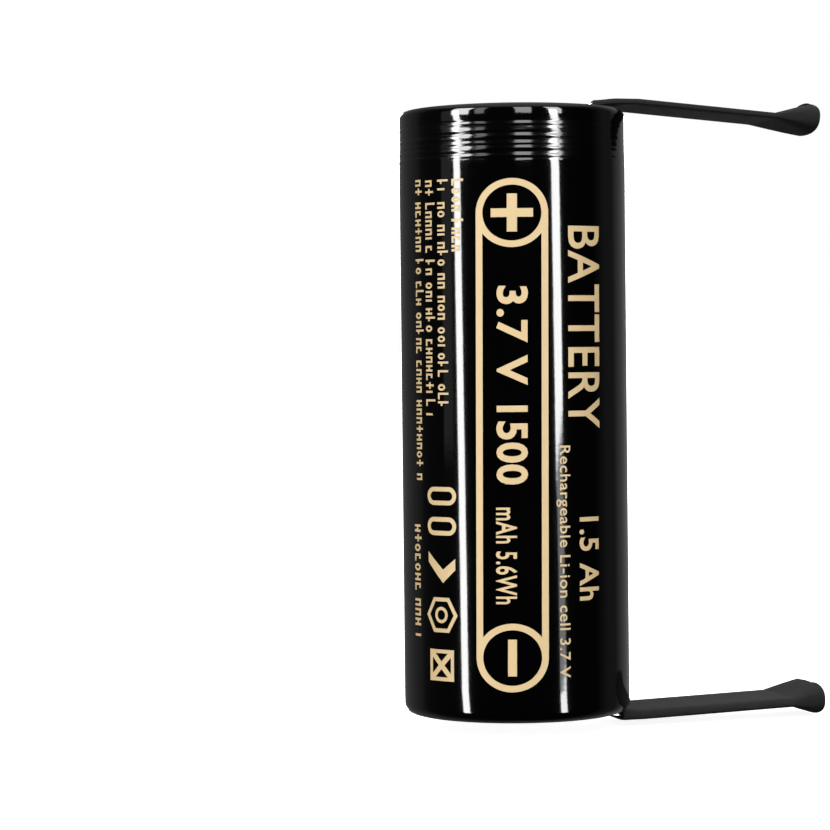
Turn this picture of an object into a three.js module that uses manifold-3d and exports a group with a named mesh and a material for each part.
// A cylindrical rechargeable cell with a solder tab on each end, in millimetres with +Z up.
// The origin lies on the cell's axis, in the outer face of the negative tab; +Z points to the
// positive end, and both tabs point along +X.
import * as THREE from "three";
import { mergeVertices } from "three/addons/utils/BufferGeometryUtils.js";
import Module from "manifold-3d";

const wasm = await Module();
wasm.setup();

// ---- Driving sizes -------------------------------------------------------------------------

// The cell over its wrap
const CELL_DIAMETER = 18.5;
const CELL_LENGTH = 48.9;
const WRAP_WALL = 0.15;
const WRAP_BOTTOM_CORNER = 1.0;
const WRAP_TOP_CORNER = 0.6;
const NEGATIVE_FOLD = 2.45; // how far the wrap folds in over the negative end
const POSITIVE_FOLD = 2.15; // and over the positive end
const CROWN_STEP = 0.1; // the cell is this much smaller in radius above the bead groove

// The can
const CAN_WALL = 0.22;
const BEAD_TOP = 2.4; // from the positive end down to the groove's upper edge
const BEAD_HEIGHT = 1.9;
const BEAD_DEPTH = 0.8;
const BEAD_SAG = 0.12; // how far the wrap is drawn into the groove
const CRIMP_CORNER = 0.55;
const LIP_WIDTH = 1.7; // how far the crimped lip reaches in

// The crown, from the wrap's fold downwards
const WASHER_THICKNESS = 0.2;
const WASHER_TO_BOSS = 0.25; // from the foot of the boss to the washer's bore
const GASKET_WALL = 0.3;
const GASKET_SIDE = 0.42;
const GASKET_OVERLAP = 1.2;
const CAP_SHEET = 0.4;
const BOSS_RADIUS = 4.9;
const BOSS_SLOPE = 0.85;
const BOSS_BELOW_RIM = 0.05;
const VENT_SLOTS = 4;
const VENT_SLOT_ANGLE = 42;
const PTC_THICKNESS = 0.3;
const PTC_REACH = 0.1; // the ring's bore lies this far inside the foot of the boss
const DISC_SHEET = 0.3; // burst disc and perforated contact disc
const DISH_DEPTH = 0.63;
const DISH_SLOPE = 0.9;
const DISH_LAND = 1.4; // flat of the dish outside its score line
const NIPPLE_RADIUS = 0.8;
const NIPPLE_DEPTH = 0.36;
const NIPPLE_DRAFT = 0.24; // the nipple's root is this much wider in radius than its tip
const SPACER_WIDTH = 1.1;
const SPACER_PLAY = 0.2; // spacer to the gasket's arms
const CONTACT_HOLES = 6;
const CONTACT_HOLE_RADIUS = 0.6;
const CONTACT_HOLE_CIRCLE = 3.2;

// The electrode roll
const INSULATOR_THICKNESS = 0.3;
const TOP_INSULATOR_DROP = 4.7; // from the positive end down to its upper face
const PIN_RADIUS = 1.5;
const PIN_WALL = 0.25;
const ROLL_START = 1.9;
const SEPARATOR_SHEET = 0.12;
const CATHODE_SHEET = 0.38;
const ANODE_SHEET = 0.34;
const SHEET_GAP = 0.06;
const SEPARATOR_MARGIN = 0.45; // the separators stand this far past the electrodes
const ROLL_CLEARANCE = 0.25; // roll to can
const TAPE_SHEET = 0.08;
const TAPE_HEIGHT = 30;
const LEAD_SHEET = 0.1;
const LEAD_WIDTH = 1.6;
const CATHODE_LEAD_DEPTH = 0.228; // from the cathode's inner face to the middle of its lead
const ANODE_LEAD_DEPTH = 0.136; // from the anode's inner face to the middle of its lead

// The tabs: a nickel strip in a flat insulating sleeve
const STRIP_WIDTH = 6;
const STRIP_SHEET = 0.15;
const STRIP_PAST_CENTRE = 2.7; // how far the strip runs past the axis
const TAB_REACH = 16.85; // from the side of the cell to the sleeve's free end
const STRIP_INSET = 3.4; // the strip ends this far inside the sleeve
const SLEEVE_WALL = 0.15;
const SLEEVE_PLAY = 0.05; // above and below the strip
const SLEEVE_EDGE = 0.4; // past each long edge of the strip
const FLARE_LENGTH = 4.4;
const FLARE_HEIGHT = 2.6;
const FLARE_PINCH = 0.8; // the mouth is this much narrower than the sleeve
const FLARE_CURVE = 1.15; // exponent of the opening along the flare
const FLAT_EXPONENT = 6; // squareness of the flat sleeve's section; 2 is an ellipse
const MOUTH_EXPONENT = 2.4; // and of the mouth's
const POSITIVE_MOUTH_INSET = 3.25; // from the side of the cell in to the sleeve's first end
const NEGATIVE_MOUTH_INSET = 0.75;
const STRIP_CLIMB = 1.4; // the positive strip rises over this distance up to the sleeve
const SLEEVE_CLIMB = 2.1; // and the sleeve over this one
const STRIP_DIVE = 1.1; // the negative strip drops below the wrap's fold over this distance
const DIVE_LEAD = 0.1; // and is down this far before its edges reach the fold
const MOUTH_LEVEL = 0.2; // the negative strip is level this far before the sleeve
const POSITIVE_TAB_RISE = 0.7; // strip's middle above the rim, at the bend
const NEGATIVE_TAB_DROP = 0.43; // strip's middle below the base, at the bend
const POSITIVE_DROOP = 4.6; // degrees below level
const NEGATIVE_LIFT = 1.8; // degrees above level

// Clearances
const FIT = 0.02; // faces that rest on each other
const RUNNING = 0.1; // score line of the burst disc
const FOLD_CLEARANCE = 0.38; // sleeve to the cell's side when a tab is folded against it
const STRIP_BEND_GAP = 0.15; // strip to bend axis, each side
const SLEEVE_BEND_GAP = 0.4; // sleeve to bend axis, each side
const RIM_CLEARANCE = 0.26; // the sleeve's first end above the positive rim

// Segments: in a full turn, in a rounded corner, and along the pieces of a tab
const ROUND = 40;
const CORNER_STEPS = 3;
const WRAP_BEAD_STEPS = 4;
const CAN_BEAD_STEPS = 6;
const PAD_STEPS = 24;
const ROOT_STEPS = 4;
const SLEEVE_STEPS = 12;

// ---- Sizes that follow ---------------------------------------------------------------------

const top = CELL_LENGTH;
const wrapRadius = CELL_DIAMETER / 2;
const wrapCrown = wrapRadius - CROWN_STEP;
const canRadius = wrapRadius - WRAP_WALL - FIT;
const canCrown = wrapCrown - WRAP_WALL - FIT;
const canBottom = WRAP_WALL + FIT;
const canInside = canRadius - CAN_WALL;
const washerTop = top - WRAP_WALL - FIT;
const canTop = washerTop - WASHER_THICKNESS - FIT;
const beadTop = top - BEAD_TOP;
const beadBottom = beadTop - BEAD_HEIGHT;

const gasketTop = canTop - CAN_WALL - FIT;
const gasketRadius = canCrown - CAN_WALL - FIT;
const slotRadius = gasketRadius - GASKET_SIDE;
const slotTop = gasketTop - GASKET_WALL;
const discRadius = slotRadius - FIT;
const capTop = slotTop - FIT;
const capBottom = capTop - CAP_SHEET;
const bossTop = top - BOSS_BELOW_RIM;
const bossFoot = BOSS_RADIUS + BOSS_SLOPE;
const ptcTop = capBottom - FIT;
const ptcBottom = ptcTop - PTC_THICKNESS;
const ventTop = ptcBottom - FIT;
const ventBottom = ventTop - DISC_SHEET;
const slotBottom = ventBottom - FIT;
const gasketBottom = slotBottom - GASKET_WALL;
const armRadius = slotRadius - GASKET_OVERLAP;
const contactRadius = armRadius - SPACER_PLAY;
const spacerInside = contactRadius - SPACER_WIDTH;
const dishRadius = spacerInside - RUNNING;
const dishFloorRadius = dishRadius - DISH_SLOPE;
const dishFloor = ventBottom - DISH_DEPTH;
const diaphragmRadius = dishFloorRadius - DISH_LAND;
const nippleTip = dishFloor - NIPPLE_DEPTH;
const contactTop = nippleTip - FIT;
const contactBottom = contactTop - DISC_SHEET;

const canFloor = canBottom + CAN_WALL;
const footBottom = canFloor + FIT;
const footTop = footBottom + LEAD_SHEET;
const insulatorBottom = footTop + FIT;
const rollBottom = insulatorBottom + INSULATOR_THICKNESS + FIT;
const insulatorTop = top - TOP_INSULATOR_DROP;
const rollTop = insulatorTop - INSULATOR_THICKNESS - FIT;
const electrodeBottom = rollBottom + SEPARATOR_MARGIN;
const electrodeTop = rollTop - SEPARATOR_MARGIN;
const rollRadius = canInside - ROLL_CLEARANCE;
const tapeRadius = rollRadius + SHEET_GAP + TAPE_SHEET;

// Radial place of each layer at the start of the roll, and the growth of one turn
const separatorInnerStart = ROLL_START;
const cathodeStart = separatorInnerStart + SEPARATOR_SHEET + SHEET_GAP;
const separatorOuterStart = cathodeStart + CATHODE_SHEET + SHEET_GAP;
const anodeStart = separatorOuterStart + SEPARATOR_SHEET + SHEET_GAP;
const pitch = anodeStart + ANODE_SHEET + SHEET_GAP - ROLL_START;
const turns = (rollRadius - ANODE_SHEET - anodeStart) / pitch;

const sleeveThickness = STRIP_SHEET + 2 * (SLEEVE_PLAY + SLEEVE_WALL);
const sleeveWidth = STRIP_WIDTH + 2 * SLEEVE_EDGE;
const mouthWidth = sleeveWidth - FLARE_PINCH;
const bendX = wrapRadius + sleeveThickness / 2 + FOLD_CLEARANCE;
const tabLength = wrapRadius + TAB_REACH - bendX;
const positivePad = bossTop + FIT + STRIP_SHEET / 2; // middle of the strip on the boss
const negativePad = STRIP_SHEET / 2;
const negativeWindow = wrapRadius - NEGATIVE_FOLD;
const positiveWindow = wrapRadius - POSITIVE_FOLD;

// ---- Finishes ------------------------------------------------------------------------------

const finish = (color, roughness, metalness = 0) =>
  new THREE.MeshStandardMaterial({ color, roughness, metalness });

const blackWrap = finish(0x0a0a0b, 0.22);
const sleeveGrey = finish(0x2d2d2d, 0.8);
const nickel = finish(0xd9d9d6, 0.35, 1);
const platedSteel = finish(0xc9cacb, 0.3, 1);
const washerWhite = finish(0xeeeeec, 0.7);
const gasketPlastic = finish(0xb9bab4, 0.5);
const ptcBlack = finish(0x3a3733, 0.6);
const aluminium = finish(0xc4c7ca, 0.4, 1);
const spacerPlastic = finish(0x8fa6b8, 0.5);
const separatorFilm = finish(0xf2f2ee, 0.6);
const cathodeBlack = finish(0x26262b, 0.8);
const anodeGraphite = finish(0x3b3c3f, 0.7);
const tapeBlue = finish(0x2f6fa8, 0.4);
const insulatorPaper = finish(0x9db7c2, 0.7);

// ---- Shape helpers -------------------------------------------------------------------------

const point = (r, z) => new THREE.Vector2(r, z);

// Points of an arc in a turned profile, from one angle to the other, in degrees.
function arc(r, z, radius, from, to, steps = CORNER_STEPS) {
  return Array.from({ length: steps + 1 }, (_, i) => {
    const a = THREE.MathUtils.degToRad(from + ((to - from) * i) / steps);
    return point(r + radius * Math.cos(a), z + radius * Math.sin(a));
  });
}

// A body turned about the Z axis from a profile that starts and ends on the axis or is closed.
function turned(profile, segments = ROUND) {
  const points = profile.map((p) => p.clone());
  if (points[0].x > 0) points.push(points[0].clone());
  if (THREE.ShapeUtils.area(points) < 0) points.reverse();
  return new THREE.LatheGeometry(points, segments).rotateX(Math.PI / 2);
}

// A plain ring between two heights. Its corners lie on every second corner of a full turn.
function ring(inside, outside, low, high) {
  return turned(
    [point(inside, low), point(outside, low), point(outside, high), point(inside, high)],
    ROUND / 2,
  );
}

// A closed outline in the XZ plane, given a width along Y.
function crossPiece(outline, width) {
  return new THREE.ExtrudeGeometry(new THREE.Shape(outline), { depth: width, bevelEnabled: false })
    .rotateX(Math.PI / 2)
    .translate(0, width / 2, 0);
}

function asManifold(geometry) {
  const bare = geometry.clone();
  bare.deleteAttribute("normal");
  bare.deleteAttribute("uv");
  const merged = mergeVertices(bare, 1e-4);
  return new wasm.Manifold(
    new wasm.Mesh({
      numProp: 3,
      vertProperties: merged.attributes.position.array,
      triVerts: new Uint32Array(merged.index.array),
    }),
  );
}

function asGeometry(solid) {
  const mesh = solid.getMesh();
  const geometry = new THREE.BufferGeometry();
  geometry.setAttribute("position", new THREE.BufferAttribute(mesh.vertProperties, 3));
  geometry.setIndex(new THREE.BufferAttribute(mesh.triVerts, 1));
  geometry.computeVertexNormals();
  return geometry;
}

function named(name, geometry, material) {
  const mesh = new THREE.Mesh(geometry, material);
  mesh.name = name;
  return mesh;
}

// ---- Wrap and can --------------------------------------------------------------------------

// Depth of a groove across its height, as a smooth dip.
function dip(z, depth) {
  return (depth * (1 - Math.cos((2 * Math.PI * (z - beadBottom)) / BEAD_HEIGHT))) / 2;
}

// Points along the bead, from the full radius below it to the crown's radius above it.
function bead(depth, below, above, steps) {
  return Array.from({ length: steps + 1 }, (_, i) => {
    const z = beadBottom + (BEAD_HEIGHT * i) / steps;
    return point(THREE.MathUtils.lerp(below, above, i / steps) - dip(z, depth), z);
  });
}

// The wrap's surface, set in by a distance from its outside.
function wrapSurface(inset) {
  return [
    point(negativeWindow, inset),
    ...arc(wrapRadius - WRAP_BOTTOM_CORNER, WRAP_BOTTOM_CORNER, WRAP_BOTTOM_CORNER - inset, -90, 0),
    ...bead(BEAD_SAG, wrapRadius - inset, wrapCrown - inset, WRAP_BEAD_STEPS),
    ...arc(wrapCrown - WRAP_TOP_CORNER, top - WRAP_TOP_CORNER, WRAP_TOP_CORNER - inset, 0, 90),
    point(positiveWindow, top - inset),
  ];
}

function outerWrap() {
  return turned([...wrapSurface(0), ...wrapSurface(WRAP_WALL).reverse()]);
}

// The can's surface, set in by a distance from its outside.
function canSurface(inset) {
  const corner = WRAP_BOTTOM_CORNER - WRAP_WALL - FIT;
  return [
    point(0, canBottom + inset),
    ...arc(canRadius - corner, canBottom + corner, corner - inset, -90, 0),
    ...bead(BEAD_DEPTH, canRadius - inset, canCrown - inset, CAN_BEAD_STEPS),
    ...arc(canCrown - CRIMP_CORNER, canTop - CRIMP_CORNER, CRIMP_CORNER - inset, 0, 90),
    point(canCrown - LIP_WIDTH, canTop - inset),
  ];
}

function can() {
  return turned([...canSurface(0), ...canSurface(CAN_WALL).reverse()]);
}

// ---- Crown ---------------------------------------------------------------------------------

function topWasher() {
  const outside = wrapCrown - WRAP_TOP_CORNER - RUNNING / 2;
  return ring(bossFoot + WASHER_TO_BOSS, outside, washerTop - WASHER_THICKNESS, washerTop);
}

// A ring with a channel on its inside, which grips the rims of the discs stacked in it.
function crimpGasket() {
  const chamfer = CRIMP_CORNER - CAN_WALL;
  return turned([
    point(armRadius, gasketBottom),
    point(gasketRadius, gasketBottom),
    point(gasketRadius, gasketTop - chamfer),
    point(gasketRadius - chamfer, gasketTop),
    point(armRadius, gasketTop),
    point(armRadius, slotTop),
    point(slotRadius, slotTop),
    point(slotRadius, slotBottom),
    point(armRadius, slotBottom),
  ]);
}

function topCap() {
  const slope = Math.atan2(bossTop - capTop, BOSS_SLOPE);
  const run = CAP_SHEET * Math.tan(slope / 2);
  const blank = asManifold(
    turned([
      point(0, bossTop - CAP_SHEET),
      point(BOSS_RADIUS - run, bossTop - CAP_SHEET),
      point(bossFoot - run, capBottom),
      point(discRadius, capBottom),
      point(discRadius, capTop),
      point(bossFoot, capTop),
      point(BOSS_RADIUS, bossTop),
      point(0, bossTop),
    ]),
  );
  const half = THREE.MathUtils.degToRad(VENT_SLOT_ANGLE / 2);
  const slot = new THREE.Shape()
    .absarc(0, 0, bossFoot - BOSS_SLOPE / 5, -half, half, false)
    .absarc(0, 0, BOSS_RADIUS + BOSS_SLOPE / 10, half, -half, true);
  const cutter = new THREE.ExtrudeGeometry(slot, {
    depth: 4 * CAP_SHEET + bossTop - capBottom,
    bevelEnabled: false,
    curveSegments: 5,
  }).translate(0, 0, capBottom - 2 * CAP_SHEET);
  const slots = Array.from({ length: VENT_SLOTS }, (_, i) =>
    asManifold(cutter.clone().rotateZ((2 * Math.PI * (i + 0.5)) / VENT_SLOTS)),
  );
  return asGeometry(slots.reduce((cap, cut) => cap.subtract(cut), blank));
}

function ptcRing() {
  return ring(bossFoot - PTC_REACH, discRadius, ptcBottom, ptcTop);
}

// The clamped rim and dish of the burst disc, out to its score line.
function ventDiscRim() {
  const edge = diaphragmRadius + RUNNING;
  return turned([
    point(edge, dishFloor),
    point(dishFloorRadius, dishFloor),
    point(dishRadius, ventBottom),
    point(discRadius, ventBottom),
    point(discRadius, ventTop),
    point(dishRadius - RUNNING, ventTop),
    point(dishFloorRadius - RUNNING, dishFloor + DISC_SHEET),
    point(edge, dishFloor + DISC_SHEET),
  ]);
}

// The middle of the burst disc, which lifts off the contact disc under pressure.
function ventDiaphragm() {
  return turned(
    [
      point(0, nippleTip),
      point(NIPPLE_RADIUS, nippleTip),
      point(NIPPLE_RADIUS + NIPPLE_DRAFT, dishFloor),
      point(diaphragmRadius, dishFloor),
      point(diaphragmRadius, dishFloor + DISC_SHEET),
      point(0, dishFloor + DISC_SHEET),
    ],
    ROUND / 2,
  );
}

function cidSpacer() {
  return ring(spacerInside, contactRadius, contactTop + FIT, ventBottom - FIT);
}

// The perforated contact disc below the burst disc.
function cidDisc() {
  const shape = new THREE.Shape().absarc(0, 0, contactRadius, 0, 2 * Math.PI, false);
  shape.holes = Array.from({ length: CONTACT_HOLES }, (_, i) => {
    const a = (2 * Math.PI * (i + 0.5)) / CONTACT_HOLES;
    const [x, y] = [CONTACT_HOLE_CIRCLE * Math.cos(a), CONTACT_HOLE_CIRCLE * Math.sin(a)];
    return new THREE.Path().absarc(x, y, CONTACT_HOLE_RADIUS, 0, 2 * Math.PI, true);
  });
  return new THREE.ExtrudeGeometry(shape, {
    depth: DISC_SHEET,
    bevelEnabled: false,
    curveSegments: 16,
  }).translate(0, 0, contactBottom);
}

// ---- Electrode roll ------------------------------------------------------------------------

const STEPS_PER_TURN = ROUND / 2;

function spiralRadius(start, turn) {
  return start + pitch * turn;
}

// One wound sheet: a spiral strip from its starting radius, between two heights.
function wound(start, sheet, low, high) {
  const steps = Math.floor(turns * STEPS_PER_TURN);
  const edge = (offset) =>
    Array.from({ length: steps + 1 }, (_, i) => {
      const turn = i / STEPS_PER_TURN;
      const r = spiralRadius(start, turn) + offset;
      return point(r * Math.cos(2 * Math.PI * turn), r * Math.sin(2 * Math.PI * turn));
    });
  const shape = new THREE.Shape([...edge(0), ...edge(sheet).reverse()]);
  return new THREE.ExtrudeGeometry(shape, { depth: high - low, bevelEnabled: false }).translate(0, 0, low);
}

// A band round the roll, open over a small arc.
function closingTape() {
  const gap = THREE.MathUtils.degToRad(360 / STEPS_PER_TURN);
  const shape = new THREE.Shape()
    .absarc(0, 0, tapeRadius, gap, 2 * Math.PI - gap, false)
    .absarc(0, 0, tapeRadius - TAPE_SHEET, 2 * Math.PI - gap, gap, true);
  const middle = (rollBottom + rollTop) / 2;
  return new THREE.ExtrudeGeometry(shape, {
    depth: TAPE_HEIGHT,
    bevelEnabled: false,
    curveSegments: ROUND - 4,
  }).translate(0, 0, middle - TAPE_HEIGHT / 2);
}

function centrePin() {
  return ring(PIN_RADIUS - PIN_WALL, PIN_RADIUS, electrodeBottom, electrodeTop);
}

// The cathode's lead rises from the second turn and folds in under the contact disc.
const cathodeLeadX = spiralRadius(cathodeStart, 1) + CATHODE_LEAD_DEPTH;

function cathodeLead() {
  const inner = cathodeLeadX - LEAD_SHEET / 2;
  const outer = cathodeLeadX + LEAD_SHEET / 2;
  const high = contactBottom - FIT;
  return crossPiece(
    [
      point(inner, electrodeTop + FIT),
      point(outer, electrodeTop + FIT),
      point(outer, high),
      point(-LEAD_WIDTH, high),
      point(-LEAD_WIDTH, high - LEAD_SHEET),
      point(inner, high - LEAD_SHEET),
    ],
    LEAD_WIDTH,
  );
}

function topInsulator() {
  const blank = asManifold(
    ring(PIN_RADIUS, canInside - RUNNING, insulatorTop - INSULATOR_THICKNESS, insulatorTop),
  );
  const room = 4 * RUNNING;
  const size = [LEAD_SHEET + room, LEAD_WIDTH + room, 3 * INSULATOR_THICKNESS];
  const middle = insulatorTop - INSULATOR_THICKNESS / 2;
  const window = asManifold(new THREE.BoxGeometry(...size).translate(cathodeLeadX, 0, middle));
  return asGeometry(blank.subtract(window));
}

// The anode's lead drops from the last turn past the lower insulator and lies on the can's floor.
const anodeLeadTurn = Math.floor(turns * 2 - 0.5) / 2;
const anodeLeadX = spiralRadius(anodeStart, anodeLeadTurn) + ANODE_LEAD_DEPTH;
const anodeLeadSide = anodeLeadTurn % 1 ? -1 : 1;

function anodeLead() {
  const inner = anodeLeadX - LEAD_SHEET / 2;
  const outer = anodeLeadX + LEAD_SHEET / 2;
  return crossPiece(
    [
      point(-LEAD_WIDTH, footBottom),
      point(outer, footBottom),
      point(outer, electrodeBottom - FIT),
      point(inner, electrodeBottom - FIT),
      point(inner, footTop),
      point(-LEAD_WIDTH, footTop),
    ],
    LEAD_WIDTH,
  ).rotateZ(anodeLeadSide < 0 ? Math.PI : 0);
}

function bottomInsulator() {
  const outside = anodeLeadX - LEAD_SHEET / 2 - RUNNING;
  return ring(PIN_RADIUS, outside, insulatorBottom, insulatorBottom + INSULATOR_THICKNESS);
}

// ---- Tabs ----------------------------------------------------------------------------------

// A height that passes smoothly through knots, each a distance from the axis and a height.
function route(knots) {
  return (x) => {
    const next = knots.findIndex(([at]) => at > x);
    if (next === 0) return knots[0][1];
    if (next < 0) return knots[knots.length - 1][1];
    const [x0, z0] = knots[next - 1];
    const [x1, z1] = knots[next];
    return THREE.MathUtils.lerp(z0, z1, THREE.MathUtils.smoothstep(x, x0, x1));
  };
}

const positiveMouth = wrapRadius - POSITIVE_MOUTH_INSET;
const positiveRoute = route([
  [positiveMouth - STRIP_CLIMB, positivePad],
  [positiveMouth, top + RIM_CLEARANCE + sleeveThickness / 2],
  [positiveMouth + SLEEVE_CLIMB, top + POSITIVE_TAB_RISE],
]);

// The strip is clear of the wrap's fold where its long edges reach it.
const negativeMouth = wrapRadius - NEGATIVE_MOUTH_INSET;
const foldReached = Math.sqrt(negativeWindow ** 2 - (STRIP_WIDTH / 2) ** 2);
const negativeRoute = route([
  [foldReached - DIVE_LEAD - STRIP_DIVE, negativePad],
  [foldReached - DIVE_LEAD, -STRIP_SHEET / 2 - 2 * FIT],
  [negativeMouth - MOUTH_LEVEL, -NEGATIVE_TAB_DROP],
]);

// A flat strip along X that follows a height.
function strip(from, to, height, segments) {
  const geometry = new THREE.BoxGeometry(to - from, STRIP_WIDTH, STRIP_SHEET, segments, 1, 1);
  geometry.translate((from + to) / 2, 0, 0);
  const position = geometry.attributes.position;
  for (let i = 0; i < position.count; i++) position.setZ(i, position.getZ(i) + height(position.getX(i)));
  return geometry;
}

// A flat sleeve's outline: a flattened oval that rounds out as its exponent falls to 2.
function oval(width, height, exponent, angle) {
  const bend = (v) => Math.sign(v) * Math.abs(v) ** (2 / exponent);
  return point((width / 2) * bend(Math.cos(angle)), (height / 2) * bend(Math.sin(angle)));
}

const OVAL_POINTS = 16;

// A hollow flat sleeve along X. Each ring of its wall follows a height and opens towards the flare.
function sleeve(from, to, steps, height, flare) {
  const angles = Array.from({ length: OVAL_POINTS }, (_, i) => (2 * Math.PI * (i + 0.5)) / OVAL_POINTS);
  const ringOf = (wall) =>
    angles.map((a) => oval(sleeveWidth - 2 * wall, sleeveThickness - 2 * wall, FLAT_EXPONENT, a));
  const outer = ringOf(0);
  const inner = ringOf(SLEEVE_WALL);
  const shape = new THREE.Shape(outer);
  shape.holes = [new THREE.Path([...inner].reverse())];
  const geometry = new THREE.ExtrudeGeometry(shape, { depth: to - from, steps, bevelEnabled: false });
  const position = geometry.attributes.position;
  for (let i = 0; i < position.count; i++) {
    const at = point(position.getX(i), position.getY(i));
    const outside = outer.findIndex((p) => p.distanceTo(at) < 1e-4);
    const angle = angles[outside < 0 ? inner.findIndex((p) => p.distanceTo(at) < 1e-4) : outside];
    const wall = outside < 0 ? SLEEVE_WALL : 0;
    const x = from + position.getZ(i);
    const open = flare(x);
    const section = oval(
      THREE.MathUtils.lerp(sleeveWidth, mouthWidth, open) - 2 * wall,
      THREE.MathUtils.lerp(sleeveThickness, FLARE_HEIGHT, open) - 2 * wall,
      THREE.MathUtils.lerp(FLAT_EXPONENT, MOUTH_EXPONENT, open),
      angle,
    );
    const shift = (FLARE_PINCH / 2) * open;
    position.setXYZ(i, x, section.x + shift, section.y + height(x));
  }
  return geometry;
}

const closed = () => 0;
const level = () => 0;
const flareFrom = tabLength - FLARE_LENGTH;
const opening = (x) => THREE.MathUtils.clamp((x - flareFrom) / FLARE_LENGTH, 0, 1) ** FLARE_CURVE;

// The strip and the sleeve's first stretch stay with the cell; the rest turns about the bend.
function fixedTab(name, pathHeight, mouth) {
  const pad = strip(-STRIP_PAST_CENTRE, bendX - STRIP_BEND_GAP, pathHeight, PAD_STEPS);
  const root = sleeve(mouth, bendX - SLEEVE_BEND_GAP, ROOT_STEPS, pathHeight, closed);
  return [named(`${name}_tab_pad`, pad, nickel), named(`${name}_sleeve_root`, root, sleeveGrey)];
}

function turningTab(name, bendHeight, turn) {
  const tab = new THREE.Group();
  tab.position.set(bendX, 0, bendHeight);
  tab.rotation.y = THREE.MathUtils.degToRad(turn);
  const lead = strip(STRIP_BEND_GAP, tabLength - STRIP_INSET, level, 1);
  const tube = sleeve(SLEEVE_BEND_GAP, tabLength, SLEEVE_STEPS, level, opening);
  tab.add(named(`${name}_tab_lead`, lead, nickel), named(`${name}_sleeve`, tube, sleeveGrey));
  return tab;
}

// ---- The cell ------------------------------------------------------------------------------

const cell = new THREE.Group();
cell.add(
  named("outer_wrap", outerWrap(), blackWrap),
  named("can", can(), platedSteel),
  named("top_washer", topWasher(), washerWhite),
  named("crimp_gasket", crimpGasket(), gasketPlastic),
  named("top_cap", topCap(), platedSteel),
  named("ptc_ring", ptcRing(), ptcBlack),
  named("vent_disc_rim", ventDiscRim(), aluminium),
  named("vent_diaphragm", ventDiaphragm(), aluminium),
  named("cid_spacer", cidSpacer(), spacerPlastic),
  named("cid_disc", cidDisc(), aluminium),
  named("cathode_lead", cathodeLead(), aluminium),
  named("top_insulator", topInsulator(), insulatorPaper),
  named("centre_pin", centrePin(), platedSteel),
  named("separator_inner", wound(separatorInnerStart, SEPARATOR_SHEET, rollBottom, rollTop), separatorFilm),
  named("cathode", wound(cathodeStart, CATHODE_SHEET, electrodeBottom, electrodeTop), cathodeBlack),
  named("separator_outer", wound(separatorOuterStart, SEPARATOR_SHEET, rollBottom, rollTop), separatorFilm),
  named("anode", wound(anodeStart, ANODE_SHEET, electrodeBottom, electrodeTop), anodeGraphite),
  named("closing_tape", closingTape(), tapeBlue),
  named("bottom_insulator", bottomInsulator(), insulatorPaper),
  named("anode_lead", anodeLead(), nickel),
  ...fixedTab("positive", positiveRoute, positiveMouth),
  turningTab("positive", top + POSITIVE_TAB_RISE, POSITIVE_DROOP),
  ...fixedTab("negative", negativeRoute, negativeMouth),
  turningTab("negative", -NEGATIVE_TAB_DROP, -NEGATIVE_LIFT),
);

export default cell;
